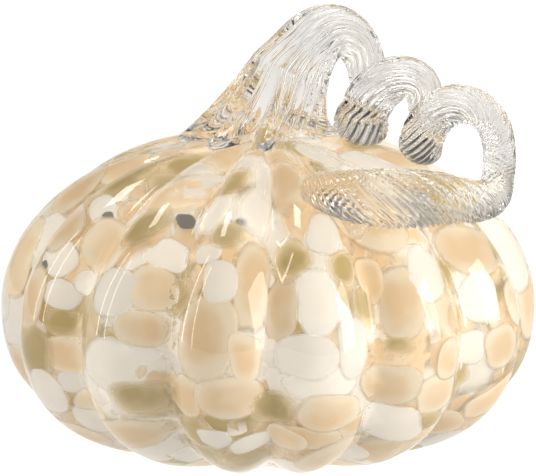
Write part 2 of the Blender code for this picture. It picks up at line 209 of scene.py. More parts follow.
# chips that lead at the front: angle in degrees from the front, millimetres along the wall from
# the widest ring, width, height, lean in degrees, colour and layer (0 near the skin, 1 behind)
frontChips = [
    (-70, 42, 16, 6, -40, "olive", 1), (-66, 33, 22, 13, -30, "peach", 0),
    (-59, 24, 14, 11, -20, "white", 1),
    (-57, 42, 13, 8, -30, "white", 1), (-54, 14, 13, 9, 0, "white", 1), (-51, 6, 17, 10, 0, "olive", 1),
    (-49, -13, 14, 9, 0, "white", 1), (-50, -4, 17, 13, 0, "peach", 1), (-48, 46, 9, 7, 0, "peach", 0),
    (-48, 59, 12, 9, -40, "olive", 0), (-47, 20, 11, 8, 0, "white", 0), (-46, 32, 22, 16, -20, "peach", 0),
    (-45, -19, 16, 10, 15, "peach", 0), (-36, 18, 14, 14, -10, "white", 0),
    (-36, 39, 10, 18, -25, "olive", 0),
    (-34, -26, 27, 12, 8, "peach", 0), (-32, -3, 26, 16, 0, "white", 1), (-33, 54, 15, 17, -35, "peach", 1),
    (-28, -12, 19, 12, 0, "olive", 0), (-28, 9, 16, 10, 0, "peach", 0), (-28, 60, 11, 15, -40, "white", 1),
    (-27, 21, 15, 14, -5, "peach", 0), (-26, 32, 12, 10, 0, "white", 0), (-24, -6, 13, 9, 0, "peach", 1),
    (-21, 20, 11, 12, 0, "olive", 0), (-18, -10, 12, 13, 0, "peach", 1), (-16, -22, 11, 14, 20, "olive", 1),
    (-16, 48, 8, 14, -10, "white", 0), (-15, 33, 7, 7, 0, "white", 1), (-14, 61, 7, 12, 0, "olive", 0),
    (-13, 8, 16, 24, -8, "peach", 0), (-12, -23, 9, 7, 10, "white", 0), (-11, 24, 9, 13, 10, "white", 0),
    (-11, 39, 9, 10, 0, "olive", 0), (-8, -9, 18, 13, 0, "peach", 0), (-5, 3, 9, 14, 0, "peach", 0),
    (-4, -27, 12, 8, 5, "white", 0), (-4, 24, 9, 29, -3, "peach", 1), (-4, 50, 9, 17, 0, "white", 0),
    (-2, 63, 6, 22, 0, "white", 0), (1, -14, 14, 13, 0, "olive", 0), (3, 17, 9, 22, 0, "peach", 1),
    (4, -26, 11, 11, 0, "peach", 0), (6, 32, 10, 15, 0, "olive", 0), (8, 3, 17, 13, 0, "white", 0),
    (8, 61, 9, 22, 0, "peach", 0), (10, -24, 19, 9, 0, "peach", 1), (10, 29, 8, 10, 0, "white", 1),
    (10, 47, 9, 16, 0, "peach", 1), (11, -5, 19, 10, 0, "white", 1), (11, 18, 11, 19, 0, "white", 0),
    (13, -14, 17, 12, 0, "peach", 0), (15, 39, 9, 14, -10, "white", 0), (18, 5, 10, 17, 0, "white", 0),
    (18, 28, 8, 12, -10, "olive", 0), (20, -21, 12, 9, -5, "peach", 1), (22, 17, 8, 14, 0, "olive", 0),
    (25, 25, 9, 13, -8, "peach", 0), (27, -8, 18, 13, 0, "peach", 0), (29, -22, 19, 15, 0, "white", 0),
    (29, 4, 9, 6, 0, "olive", 0), (31, 16, 13, 21, -6, "peach", 0), (38, -21, 12, 8, -10, "olive", 1),
    (39, -12, 14, 13, 10, "peach", 1), (39, 23, 12, 17, -22, "white", 0), (40, 36, 10, 8, 0, "peach", 1),
    (41, -2, 10, 11, 0, "peach", 0), (46, 9, 11, 10, -5, "olive", 1), (47, -11, 14, 10, 20, "olive", 1),
    (47, 22, 10, 14, -20, "olive", 0), (51, -2, 12, 11, 0, "white", 1), (55, 13, 13, 15, -10, "white", 0),
    (58, 27, 19, 16, -25, "peach", 0), (60, -3, 13, 13, 5, "peach", 0), (62, -20, 20, 11, 30, "peach", 0),
    (68, 8, 15, 14, -8, "peach", 0), (72, 22, 16, 12, -20, "olive", 1),
]

# small dark spots of painted shade between the chips, standing for the shaded hollow seen through gaps:
# angle, length, size
shadeSpots = [
    (-26, 45, 5.6), (-54, 41, 3.4), (-62, 20, 3.2), (-40, 27, 3.6), (-62, 36, 2.6), (-50, 56, 3.0),
    (24, 46, 3.0), (-8, 44, 3.0),
]


def fillChips(taken, spacing, attempts, generator):
    # darts thrown at the wall, each kept where no chip that is already there comes too near
    placed = []
    angles = [chip[0] for chip in taken]
    lengths = [chip[1] for chip in taken]
    reaches = [chip[2] for chip in taken]
    lowest, highest = fineLength[0] + 4 * mm, fineLength[-1] - 9 * mm
    for attempt in range(attempts):
        angle = generator.uniform(-math.pi, math.pi)
        length = generator.uniform(lowest, highest)
        radius = float(np.interp(length, fineLength, fineRadius))
        if generator.uniform(0, body["radius"]) > radius:
            continue
        if angles:
            across = (angle - np.array(angles) + math.pi) % (2 * math.pi) - math.pi
            apart = np.hypot(across * radius, length - np.array(lengths))
            if (apart < (spacing + np.array(reaches)) / 2).any():
                continue
        angles.append(angle)
        lengths.append(length)
        reaches.append(spacing)
        placed.append((angle, length, radius))
    return placed


def chipMesh(table, sides, shares, generator):
    # each chip is a lens whose outline is a rounded, slightly uneven oval laid on the wall
    count = len(table)
    angle, length, width, height, lean, depth, fade, most = np.array(table, float).T
    turn = np.linspace(0, 2 * math.pi, sides, endpoint=False)
    wobble = np.ones((count, sides))
    for order, size in ((2, 0.05), (3, 0.05), (4, 0.03), (5, 0.02)):
        strength = size * generator.normal(size=(count, 1))
        wobble += strength * np.cos(order * turn + generator.uniform(0, 6.3, (count, 1)))
    square = 1 / (np.abs(np.cos(turn)) ** 2.5 + np.abs(np.sin(turn)) ** 2.5) ** (1 / 2.5)
    outline = square * wobble
    shares = np.array(shares)
    across = outline[:, None, :] * np.cos(turn) * shares[None, :, None] * width[:, None, None] / 2
    along = outline[:, None, :] * np.sin(turn) * shares[None, :, None] * height[:, None, None] / 2
    dome = np.sqrt(np.maximum(1 - shares ** 2.6, 0))
    half = chips["thickness"] / 2
    front = np.broadcast_to(depth[:, None, None] - half * dome[None, :, None], across.shape)
    back = np.broadcast_to(depth[:, None, None] + half * dome[None, :, None], across.shape)
    zero = np.zeros((count, 1))
    # point order: front centre, front rings outwards, inner back ring, back centre
    across = np.concatenate([zero, across.reshape(count, -1), across[:, 0], zero], axis=1)
    along = np.concatenate([zero, along.reshape(count, -1), along[:, 0], zero], axis=1)
    deep = np.concatenate([depth[:, None] - half, front.reshape(count, -1), back[:, 0],
                           depth[:, None] + half], axis=1)
    rim = np.concatenate([[0], np.repeat(shares, sides), np.full(sides, shares[0]), [0]])
    turned = across * np.cos(lean[:, None]) - along * np.sin(lean[:, None])
    raised = across * np.sin(lean[:, None]) + along * np.cos(lean[:, None])
    far = np.clip(length[:, None] + raised, fineLength[0] + 1 * mm, fineLength[-1] - 3 * mm)
    radius = np.maximum(np.interp(far, fineLength, fineRadius), 4 * mm)
    points = bodyPoint(angle[:, None] + turned / radius, far, deep, chips["grooves"])
    here = np.arange(sides)
    beside = (here + 1) % sides
    cap = np.stack([np.zeros(sides, int), 1 + here, 1 + beside], axis=-1)
    bands = []
    for ring in range(len(shares)):
        start = 1 + ring * sides
        outward = start + sides
        bands.append(np.stack([start + here, outward + here, outward + beside, start + beside], axis=-1))
    last = 1 + (len(shares) + 1) * sides
    floor = np.stack([np.full(sides, last), last - sides + beside, last - sides + here], axis=-1)
    each = last + 1
    offsets = (np.arange(count) * each)[:, None, None]
    quads = (np.concatenate(bands)[None] + offsets).reshape(-1, 4)
    fans = (np.concatenate([cap, floor])[None] + offsets).reshape(-1, 3)
    # a tone of 2 marks a dark spot of painted shade; every other chip gets a random tone
    toneAndShadeMark = np.repeat(np.where(most > 1, 2.0, generator.uniform(0, 1, count)), each)
    ease = np.clip((rim - fade[:, None]) / (1 - fade[:, None]), 0, 1)
    cover = most[:, None] * (1 - ease * ease * (3 - 2 * ease))
    attributes = {"rim": np.tile(rim, count), "toneAndShadeMark": toneAndShadeMark, "cover": cover}
    return points.reshape(-1, 3), quads, fans, attributes


def randomChip(angle, length, radius, depth, widths, cover, generator):
    # a chip of random width and lean, smaller near the poles and longer towards the neck
    crowding = min(1.0, 0.45 + radius / body["radius"] * 0.6)
    width = generator.uniform(*widths) * crowding
    stretch = generator.uniform(*chips["fillStretch"])
    height = width * stretch * (1.0 + 0.9 * max(0.0, length / fineLength[-1]))
    lean = math.radians(generator.uniform(-25, 25))
    return angle, length, width, height, lean, depth + generator.uniform(-0.3, 0.3) * mm, *cover


def pickColour(generator):
    return ("white", "peach", "olive")[int(generator.choice(3, p=chips["colourShares"]))]


def joinMeshes(parts):
    # several lists of vertices, quads, triangles and attributes as one
    counts = np.cumsum([0] + [len(part[0]) for part in parts])
    vertices = np.concatenate([part[0] for part in parts])
    quads = np.concatenate([part[1] + start for part, start in zip(parts, counts)])
    fans = np.concatenate([part[2] + start for part, start in zip(parts, counts)])
    attributes = {key: np.concatenate([np.ravel(part[3][key]) for part in parts]) for key in parts[0][3]}
    return vertices, quads, fans, attributes


def makeChips():
    # placed chips and dark spots of painted shade at the front, then thrown ones near the skin and in two
    # layers behind
    generator = np.random.default_rng(chips["seed"])
    near = {"white": [], "peach": [], "olive": []}
    deep = {"white": [], "peach": [], "olive": []}
    taken = []
    depths = (chips["nearDepth"], chips["farDepth"])
    scale = chips["frontScale"] * mm
    for degrees, length, width, height, lean, colour, layer in frontChips:
        angle = math.radians(degrees)
        high = length * mm > chips["neckLength"]
        cover = chips["neckCover"] if high else chips["cover"][colour]
        size = (width * scale, height * scale * (1.3 if high else 1.0), math.radians(lean), depths[layer])
        near[colour].append((angle, length * mm, *size, *cover))
        taken.append((angle, length * mm, (width + height) / 2 * mm))
    # dark spots of painted shade, standing for the shaded hollow seen between chips, go in with the olive
    # chips
    for degrees, length, size in shadeSpots:
        place = (math.radians(degrees), length * mm)
        shape = (size * mm, size * mm, math.radians(45), chips["shadeSpotDepth"])
        near["olive"].append((*place, *shape, *chips["cover"]["gap"]))
    for spot in fillChips(taken, chips["spacing"], chips["attempts"], generator):
        colour = pickColour(generator)
        depth = depths[0] if generator.uniform() < 0.6 else depths[1]
        near[colour].append(randomChip(*spot, depth, chips["fillWidth"], chips["cover"][colour], generator))
    for spot in fillChips([], chips["middleSpacing"], chips["attempts"], generator):
        colour = pickColour(generator)
        cover = chips["cover"]["middle"]
        deep[colour].append(randomChip(*spot, chips["middleDepth"], chips["middleWidth"], cover, generator))
    for spot in fillChips([], chips["backSpacing"], chips["attempts"], generator):
        colour = pickColour(generator)
        cover = chips["cover"][colour]
        deep[colour].append(randomChip(*spot, chips["backDepth"], chips["fillWidth"], cover, generator))
    pieces = {}
    for colour in near:
        front = chipMesh(near[colour], *chips["nearMesh"], generator)
        back = chipMesh(deep[colour], *chips["deepMesh"], generator)
        pieces[colour] = addMesh(colour + "_chips", *joinMeshes([front, back]))
        print(colour, "chips:", len(near[colour]), "near the skin,", len(deep[colour]), "behind them")
    return pieces


stem = dict(
    stationBody=75.0, sink=0.25 * mm, footSink=0.15 * mm, footRadius=25 * mm, toe=2.6 * mm, waist=0.45,
    # parts of the vine that lie on the body are thicker below by the first share, and from the
    # second of the two stations on by the second share
    restShares=(0.15, 0.32), tailStations=(28, 31),
    flutes=18, pointsPerFlute=8, ringStep=0.5 * mm, smoothing=2.2 * mm,
    fluteDepth=0.15, bendLimit=0.85, tipReach=3.0 * mm,
    # unevenness of the flutes: amount, shift round the rod and waves along it
    uneven=(0.45, 9, 130),
    # swelling of the rod: amount, waves along it, and the amount and waves of their own drift
    swell=(0.012, 120, 2, 47),
    flankRings=64, edgeRings=7, toeFlute=0.5 * mm,
    # share of the way along the vine, and how far the flutes lean from its line in degrees
    twist=((0.0, 4), (0.12, 14), (0.30, 24), (0.50, 34), (0.70, 44), (0.85, 52), (1.0, 50)),
    # period, slant and size of the ripple across the tail, and where it shows
    ripple=(2.8 * mm, 0.6, 0.05),
    rippleFade=((0.0, 0.0), (0.76, 0.0), (0.80, 1.0), (0.92, 1.0), (0.96, 0.2), (1.0, 0.0)),
    fluteFade=((0.0, 1.0), (0.76, 1.0), (0.82, 0.9), (0.90, 0.9), (0.96, 0.4), (1.0, 0.2)),
)

# outline of the foot: degrees from the front, share of the foot's radius
footOutline = (
    (-175, 0.72), (-150, 0.92), (-122, 0.74), (-86, 1.00), (-62, 0.68), (-41, 0.96), (-20, 0.46),
    (-2, 0.90), (17, 0.50), (45, 0.50), (75, 0.62), (105, 0.80), (130, 0.66), (155, 0.90),
)

# route of the vine in millimetres on a body of stationBody: x, y, clear height under the rod,
# half width and half thickness
vineStations = (
    (6.1, 2.6, 4.7, 11.6, 11.6), (8.9, 3.5, 11.0, 10.0, 10.0), (12.2, 5.0, 16.4, 8.9, 8.9),
    (16.4, 8.0, 20.3, 7.9, 7.9), (20.9, 11.0, 21.0, 7.0, 7.0), (24.8, 15.0, 19.3, 6.2, 6.2),
    (27.2, 18.0, 15.5, 5.7, 5.7), (28.4, 19.5, 10.3, 5.5, 5.5), (28.7, 18.6, 4.4, 5.6, 5.6),
    (28.0, 13.6, 0.8, 6.2, 5.0), (26.6, 5.0, 0.1, 7.2, 4.3), (25.4, -3.4, 0.3, 7.6, 4.6),
    (26.2, -7.6, 3.9, 7.3, 6.4), (30.2, -5.0, 9.4, 6.7, 6.7), (36.4, 0.0, 13.7, 6.2, 6.2),
    (41.4, 4.5, 13.9, 5.6, 5.6), (43.9, 8.0, 10.8, 5.2, 5.2), (44.5, 9.3, 5.5, 5.1, 5.1),
    (43.9, 5.8, 1.2, 5.3, 4.8), (42.5, -1.4, 0.1, 6.0, 4.2), (41.8, -8.4, 0.8, 6.3, 4.9),
    (43.3, -12.7, 5.6, 6.0, 6.0), (46.8, -12.0, 10.8, 5.8, 5.8), (51.1, -9.0, 13.2, 5.6, 5.6),
    (55.4, -5.5, 13.7, 5.4, 5.4), (59.6, -2.0, 13.2, 5.1, 5.1), (62.9, 0.5, 11.2, 4.7, 4.7),
    (64.3, 1.2, 7.7, 4.6, 4.6), (64.0, -1.6, 3.1, 4.6, 4.6), (62.2, -9.6, 0.3, 5.0, 4.6),
    (58.4, -19.0, 0.1, 5.6, 4.3), (53.8, -25.4, 0.1, 6.4, 4.2), (48.3, -30.5, 0.1, 7.6, 4.2),
    (41.9, -36.1, 0.1, 9.2, 4.2), (35.0, -41.2, 0.1, 9.8, 4.2), (28.3, -44.6, 0.1, 9.6, 4.0),
    (21.6, -46.0, 0.1, 9.0, 3.9), (16.0, -45.4, 0.1, 7.8, 3.5), (12.1, -43.6, 0.1, 5.6, 2.8),
)


def unit(vectors):
    # vectors divided by their lengths
    return vectors / np.linalg.norm(vectors, axis=-1, keepdims=True)


def domeHeight(radius):
    # height of the unribbed dome over a radius, read off the meridian
    return np.interp(radius, fineRadius[widest:][::-1], fineHeight[widest:][::-1]) + equator


def domeSlope(radius):
    # rise of the dome over a short step outwards, divided by the step
    radius = np.maximum(radius, 0.5 * mm)
    return (domeHeight(radius + 0.3 * mm) - domeHeight(radius - 0.3 * mm)) / (0.6 * mm)


def splineThrough(points, step):
    # natural cubic spline through every row, sampled evenly along its chords
    gaps = np.linalg.norm(np.diff(points[:, :3], axis=0), axis=1)
    knots = np.concatenate([[0], np.cumsum(gaps)])
    count = len(points)
    system, right = np.eye(count), np.zeros_like(points)
    slopes = np.diff(points, axis=0) / gaps[:, None]
    for row in range(1, count - 1):
        system[row, row - 1:row + 2] = gaps[row - 1], 2 * (gaps[row - 1] + gaps[row]), gaps[row]
        right[row] = 6 * (slopes[row] - slopes[row - 1])
    bends = np.linalg.solve(system, right)
    where = np.linspace(0, knots[-1], int(knots[-1] / step))
    span = np.clip(np.searchsorted(knots, where, side="right") - 1, 0, count - 2)
    gap = gaps[span][:, None]
    after = (where - knots[span])[:, None] / gap
    before = 1 - after
    curve = (before ** 3 - before) * bends[span] + (after ** 3 - after) * bends[span + 1]
    return before * points[span] + after * points[span + 1] + curve * gap ** 2 / 6


def smoothed(values, reach):
    # weighted mean over the neighbours, with both ends carried on in a straight line
    half = int(reach * 3)
    weights = np.exp(-0.5 * (np.arange(-half, half + 1) / reach) ** 2)
    weights /= weights.sum()
    front = 2 * values[0] - values[half:0:-1]
    back = 2 * values[-1] - values[-2:-half - 2:-1]
    longer = np.concatenate([front, values, back])
    return np.stack([np.convolve(longer[:, k], weights, "valid") for k in range(values.shape[1])], axis=1)


def vineLine():
    # each station stands on the dome by its clear height and half its thickness, and a smoothed
    # spline through all of them ends in a tip that shrinks like a quarter circle
    table = np.array(vineStations)
    place = table[:, :2] * body["radius"] / stem["stationBody"]
    lift, width, thick = table[:, 2:].T * mm
    radius = np.linalg.norm(place, axis=1)
    tilt = np.sqrt(1 + domeSlope(radius) ** 2)
    top = lift + 2 * thick
    extra = np.interp(np.arange(len(lift)), stem["tailStations"], stem["restShares"])
    thick = thick * (1 + np.clip(1 - lift / (1 * mm), 0, 1) * extra)
    height = domeHeight(radius) + (top - thick - stem["sink"]) * tilt
    line = splineThrough(np.column_stack([place, height, width, thick]), stem["ringStep"])
    line = smoothed(line, stem["smoothing"] / stem["ringStep"])
    # rounded tip
    ahead = unit(line[-1, :3] - line[-4, :3])
    share = np.sin(np.linspace(0, math.pi / 2, 10)[1:])
    shrink = np.sqrt(1 - share ** 2 * 0.995)
    tip = np.column_stack([line[-1, :3] + ahead * share[:, None] * stem["tipReach"],
                           line[-1, 3] * shrink, line[-1, 4] * shrink])
    return np.concatenate([line, tip])


def vineRings():
    # flattened ovals carried along the line and lying on the dome; a flute takes a share of the
    # radius, and the flutes turn by the tangent of their lean over the radius for each step along
    line = vineLine()
    place, width, thick = line[:, :3], line[:, 3], line[:, 4]
    tangent = unit(np.gradient(place, axis=0))
    stride = np.linalg.norm(np.gradient(place, axis=0), axis=1)
    bend = np.gradient(tangent, axis=0) / stride[:, None]
    bend = smoothed(bend, 3)
    side = unit(np.array([1.0, 0, 0]) - tangent[0] * tangent[0, 0])
    sides = []
    for direction in tangent:
        side = side - direction * np.dot(side, direction)
        side = side / np.linalg.norm(side)
        sides.append(side)
    sides = np.array(sides)
    over = np.cross(tangent, sides)
    way = np.cumsum(stride) / stride.sum()
    lean = np.radians(np.interp(way, *np.array(stem["twist"], float).T))
    mean = np.sqrt((width ** 2 + thick ** 2) / 2)
    winding = -np.cumsum(np.tan(lean) / np.maximum(mean, 3 * mm) * stride)
    count = stem["flutes"] * stem["pointsPerFlute"]
    turn = np.arange(count) * 2 * math.pi / count
    radius = np.linalg.norm(place[:, :2], axis=1, keepdims=True)
    normal = unit(np.concatenate([-domeSlope(radius) * place[:, :2] / radius, np.ones_like(radius)], axis=1))
    normal = unit(normal - tangent * np.sum(normal * tangent, axis=1, keepdims=True) + 1e-9)
    heading = np.arctan2(np.sum(normal * sides, axis=1), -np.sum(normal * over, axis=1))
    across = sides * np.cos(heading)[:, None] + over * np.sin(heading)[:, None]
    spin = turn[None, :] - (winding + heading)[:, None]
    fade = np.interp(way, *np.array(stem["fluteFade"]).T)[:, None]
    amount, shift, times = stem["uneven"]
    uneven = 1 + amount * np.sin(3 * turn + shift)[None, :] * np.sin(way * times)[:, None]
    depth = 1 - stem["fluteDepth"] * fade * uneven * fluteShape(turn)[None, :]
    period, slant, size = stem["ripple"]
    phase = (way * stride.sum())[:, None] - slant * width[:, None] * np.sin(spin)
    shown = np.interp(way, *np.array(stem["rippleFade"]).T)[:, None]
    ripple = size * np.sin(phase * 2 * math.pi / period) * shown
    amount, times, drift, slower = stem["swell"]
    swell = 1 + amount * np.sin(way * times + drift * np.sin(way * slower))[:, None]
    depth = (depth * (swell + ripple))[..., None]
    offset = normal[:, None] * (thick[:, None] * np.cos(spin))[..., None] * depth
    offset = offset + across[:, None] * (width[:, None] * np.sin(spin))[..., None] * depth
    inward = np.sum(offset * bend[:, None], axis=-1)
    excess = np.maximum(inward - stem["bendLimit"], 0) / np.maximum(np.sum(bend ** 2, axis=1), 1e-9)[:, None]
    offset = offset - bend[:, None] * excess[..., None]
    return place[:, None] + offset, place[-1]


def fluteShape(turn):
    # 0 on a rib and 1 in the valley beside it
    return 1 - np.abs(np.sin(turn * stem["flutes"] / 2)) ** 0.8


def footReach(turn):
    # outline of the foot, eased from one listed angle to the next by half a cosine wave
    angles = np.radians([angle for angle, share in footOutline])
    shares = np.array([share for angle, share in footOutline])
    angles = np.append(angles, angles[0] + 2 * math.pi)
    shares = np.append(shares, shares[0])
    turn = (turn - angles[0]) % (2 * math.pi) + angles[0]
    before = np.searchsorted(angles, turn, side="right") - 1
    ease = (1 - np.cos(math.pi * (turn - angles[before]) / (angles[before + 1] - angles[before]))) / 2
    return stem["footRadius"] * (shares[before] * (1 - ease) + shares[before + 1] * ease)


def crownRings(trunk):
    # underside over the dome, half circles round the toes, then flanks that follow a quadratic
    # curve from the foot over an elbow to the trunk
    count = trunk.shape[0]
    turn = np.arange(count) * 2 * math.pi / count
    compass = np.stack([np.sin(turn), -np.cos(turn)], axis=-1)
    reach = footReach(turn) - stem["toeFlute"] * fluteShape(turn)
    half = stem["toe"] / 2

    def ring(radius, lift):
        tilt = np.sqrt(1 + domeSlope(radius) ** 2)
        return np.column_stack([compass * radius[:, None], domeHeight(radius) + lift * tilt])

    under = stem["sink"] + stem["footSink"]
    rings = [ring(reach * share, -under) for share in (0.3, 0.6, 0.85)]
    for angle in np.linspace(-math.pi / 2, math.pi / 2, stem["edgeRings"]):
        level = half - under + half * math.sin(angle)
        rings.append(ring(reach - half + half * math.cos(angle), level))
    foot = rings[-1]
    lean = (foot[:, 0] / np.abs(foot[:, 0]).max() + 1) / 2
    waist = stem["waist"] * (0.25 + 0.75 * lean)[:, None]
    elbow = (foot + trunk) / 2 * (1 - waist) + np.column_stack([trunk[:, :2], foot[:, 2]]) * waist
    share = np.linspace(0, 1, stem["flankRings"] + 2)[1:-1][:, None, None]
    flank = (1 - share) ** 2 * foot + 2 * share * (1 - share) * elbow + share ** 2 * trunk
    middle = flank.mean(axis=1, keepdims=True)
    depth = stem["fluteDepth"] * np.sin(math.pi * share) ** 0.7 * 0.9
    flank = flank - (flank - middle) * depth * fluteShape(turn)[None, :, None]
    return np.concatenate([np.array(rings), flank])


def depthUnderSkin(points):
    # how far points lie under the ribbed skin, measured square to the dome
    radius = np.hypot(points[..., 0], points[..., 1])
    angle = np.arctan2(points[..., 0], -points[..., 1])
    above = (points[..., 2] - domeHeight(radius)) / np.sqrt(1 + domeSlope(radius) ** 2)
    fade = np.clip((radius - body["neckRadius"] * 0.6) / body["neckFade"], 0, 1)
    return -above - body["grooveShare"] * radius * fade * (1 - lobeShare(angle)) - body["ripple"] * fade * 2


def makeStem():
    # crown and vine as one closed surface
    vine, tip = vineRings()
    crown = crownRings(vine[0])
    rings = np.concatenate([crown, vine])
    start = (0, 0, float(domeHeight(0.0)) - stem["sink"] - stem["footSink"])
    vertices, quads, fans = meshFromGrid(rings, (start, tip))
    piece = addMesh("clear_stem", vertices, quads, fans)
    # faces sunk in the body have no glass surface of their own: there the two are fused
    hidden = depthUnderSkin(vertices) > 0.02 * mm
    fused = np.concatenate([hidden[quads].all(axis=1), hidden[fans].all(axis=1)])
    piece.data.polygons.foreach_set("material_index", fused.astype(np.int32))
    return piece


def newMaterial(name):
    material = bpy.data.materials.new(name)
    material.use_nodes = True
    nodes, links = material.node_tree.nodes, material.node_tree.links
    nodes.clear()
    return material, nodes, links


def mapRange(nodes, links, value, low, high, start, end):
    # a value eased from one range into another
    node = nodes.new("ShaderNodeMapRange")
    node.interpolation_type = "SMOOTHSTEP"
    node.inputs["From Min"].default_value = low
    node.inputs["From Max"].default_value = high
    node.inputs["To Min"].default_value = start
    node.inputs["To Max"].default_value = end
    links.new(value, node.inputs["Value"])
    return node.outputs[0]


def combine(nodes, links, operation, first, second, clamp=False):
    # sum, product or larger one of two values
    node = nodes.new("ShaderNodeMath")
    node.operation = operation
    node.use_clamp = clamp
    links.new(first, node.inputs[0])
    links.new(second, node.inputs[1])
    return node.outputs[0]


def mixColours(nodes, links, share):
    # a colour mix whose two colours are set by the caller
    node = nodes.new("ShaderNodeMix")
    node.data_type = "RGBA"
    if share is not None:
        links.new(share, node.inputs[0])
    return node


clear = dict(
    index=1.5, shadow=(0.96, 0.96, 0.96, 1),
    bodyColour=(1, 1, 1, 1), stemColour=(0.985, 0.98, 0.97, 1),
)

# four numbers in a row are the range of the value read and the range it is turned into
chipFinish = dict(
    # colour in the core and at the edge of a chip
    looks={
        "white": ((0.94, 0.895, 0.81, 1), (0.95, 0.92, 0.855, 1)),
        "peach": ((0.83, 0.63, 0.39, 1), (0.90, 0.79, 0.61, 1)),
        "olive": ((0.52, 0.40, 0.17, 1), (0.80, 0.67, 0.43, 1)),
    },
    roughness=0.45, shadowShare=0.9,
    cloudScale=95.0, cloudDetail=2.0, haze=(0.30, 0.70, -0.45, 0.45), border=(0.30, 0.90, 0.0, 1.0),
    # the last two set which tones mark the dark spots between chips and the near black painted there as
    # shade
    tones=(0.0, 1.0, 0.90, 1.04), paintedShadeTones=(1.4, 1.6, 0.0, 1.0), paintedShade=(0.20, 0.19, 0.18, 1),
)


def clearGlass(name, colour):
    # clear glass that lets lamps shine through to what is inside it
    material, nodes, links = newMaterial(name)
    out = nodes.new("ShaderNodeOutputMaterial")
    shader = nodes.new("ShaderNodeBsdfPrincipled")
    shader.inputs["Base Color"].default_value = colour
    shader.inputs["Roughness"].default_value = 0.0
    shader.inputs["IOR"].default_value = clear["index"]
    shader.inputs["Transmission Weight"].default_value = 1.0
    through = nodes.new("ShaderNodeBsdfTransparent")
    through.inputs["Color"].default_value = clear["shadow"]
    path = nodes.new("ShaderNodeLightPath")
    mix = nodes.new("ShaderNodeMixShader")
    links.new(path.outputs["Is Shadow Ray"], mix.inputs[0])
    links.new(shader.outputs[0], mix.inputs[1])
    links.new(through.outputs[0], mix.inputs[2])
    links.new(mix.outputs[0], out.inputs[0])
    return material


def fusedGlass(name):
    # lets every ray pass unbent
    material, nodes, links = newMaterial(name)
    out = nodes.new("ShaderNodeOutputMaterial")
    shader = nodes.new("ShaderNodeBsdfPrincipled")
    shader.inputs["Base Color"].default_value = (1, 1, 1, 1)
    shader.inputs["Roughness"].default_value = 0.0
    shader.inputs["Transmission Weight"].default_value = 1.0
    shader.inputs["Alpha"].default_value = 0.0
    links.new(shader.outputs[0], out.inputs[0])
    return material


def chipShading():
    # colour: the core mixed to the edge by the way out to the rim plus a cloudy noise, times the
    # tone of the chip, and painted shade where the tone marks a dark spot; cover: the attribute as it is
    group = bpy.data.node_groups.new("chip_shading", "ShaderNodeTree")
    group.interface.new_socket("Core", in_out="INPUT", socket_type="NodeSocketColor")
    group.interface.new_socket("Edge", in_out="INPUT", socket_type="NodeSocketColor")
    group.interface.new_socket("Colour", in_out="OUTPUT", socket_type="NodeSocketColor")
    group.interface.new_socket("Cover", in_out="OUTPUT", socket_type="NodeSocketFloat")
    nodes, links = group.nodes, group.links
    given = nodes.new("NodeGroupInput")
    result = nodes.new("NodeGroupOutput")
    read = {}
    for key in ("rim", "toneAndShadeMark", "cover"):
        attribute = nodes.new("ShaderNodeAttribute")
        attribute.attribute_name = key
        read[key] = attribute.outputs["Fac"]
    place = nodes.new("ShaderNodeTexCoord")
    cloud = nodes.new("ShaderNodeTexNoise")
    cloud.inputs["Scale"].default_value = chipFinish["cloudScale"]
    cloud.inputs["Detail"].default_value = chipFinish["cloudDetail"]
    links.new(place.outputs["Object"], cloud.inputs["Vector"])
    haze = mapRange(nodes, links, cloud.outputs[0], *chipFinish["haze"])
    border = mapRange(nodes, links, read["rim"], *chipFinish["border"])
    share = combine(nodes, links, "ADD", haze, border, True)
    mix = mixColours(nodes, links, share)
    links.new(given.outputs["Core"], mix.inputs[6])
    links.new(given.outputs["Edge"], mix.inputs[7])
    shade = mixColours(nodes, links, None)
    shade.blend_type = "MULTIPLY"
    shade.inputs[0].default_value = 1.0
    links.new(mix.outputs[2], shade.inputs[6])
    links.new(mapRange(nodes, links, read["toneAndShadeMark"], *chipFinish["tones"]), shade.inputs[7])
    # painted shade: a near black mixed in where the tone marks a dark spot between chips
    paintedShade = mixColours(nodes, links, mapRange(nodes, links, read["toneAndShadeMark"], *chipFinish["paintedShadeTones"]))
    paintedShade.inputs[7].default_value = chipFinish["paintedShade"]
    links.new(shade.outputs[2], paintedShade.inputs[6])
    links.new(paintedShade.outputs[2], result.inputs["Colour"])
    links.new(read["cover"], result.inputs["Cover"])
    return group


def chipGlass(name, shading, core, edge):
    # the shading group gives colour and alpha, and most of a shadow ray passes through
    material, nodes, links = newMaterial(name)
    out = nodes.new("ShaderNodeOutputMaterial")
    shader = nodes.new("ShaderNodeBsdfPrincipled")
    shader.inputs["Roughness"].default_value = chipFinish["roughness"]
    surface = nodes.new("ShaderNodeGroup")
    surface.node_tree = shading
    surface.inputs["Core"].default_value = core
    surface.inputs["Edge"].default_value = edge
    links.new(surface.outputs["Colour"], shader.inputs["Base Color"])
    links.new(surface.outputs["Cover"], shader.inputs["Alpha"])
    through = nodes.new("ShaderNodeBsdfTransparent")
    path = nodes.new("ShaderNodeLightPath")
    most = nodes.new("ShaderNodeMath")
    most.operation = "MULTIPLY"
    most.inputs[1].default_value = chipFinish["shadowShare"]
    links.new(path.outputs["Is Shadow Ray"], most.inputs[0])
    blend = nodes.new("ShaderNodeMixShader")
    links.new(most.outputs[0], blend.inputs[0])
    links.new(shader.outputs[0], blend.inputs[1])
    links.new(through.outputs[0], blend.inputs[2])
    links.new(blend.outputs[0], out.inputs[0])
    return material


stage = dict(
    size=8, drop=0.2 * mm, colour=(0.60, 0.60, 0.60, 1), roughness=0.6,
    # glow of the floor for all rays and for the camera's own
    glow=(0.0, 1.0, 0.55, 0.80),
)


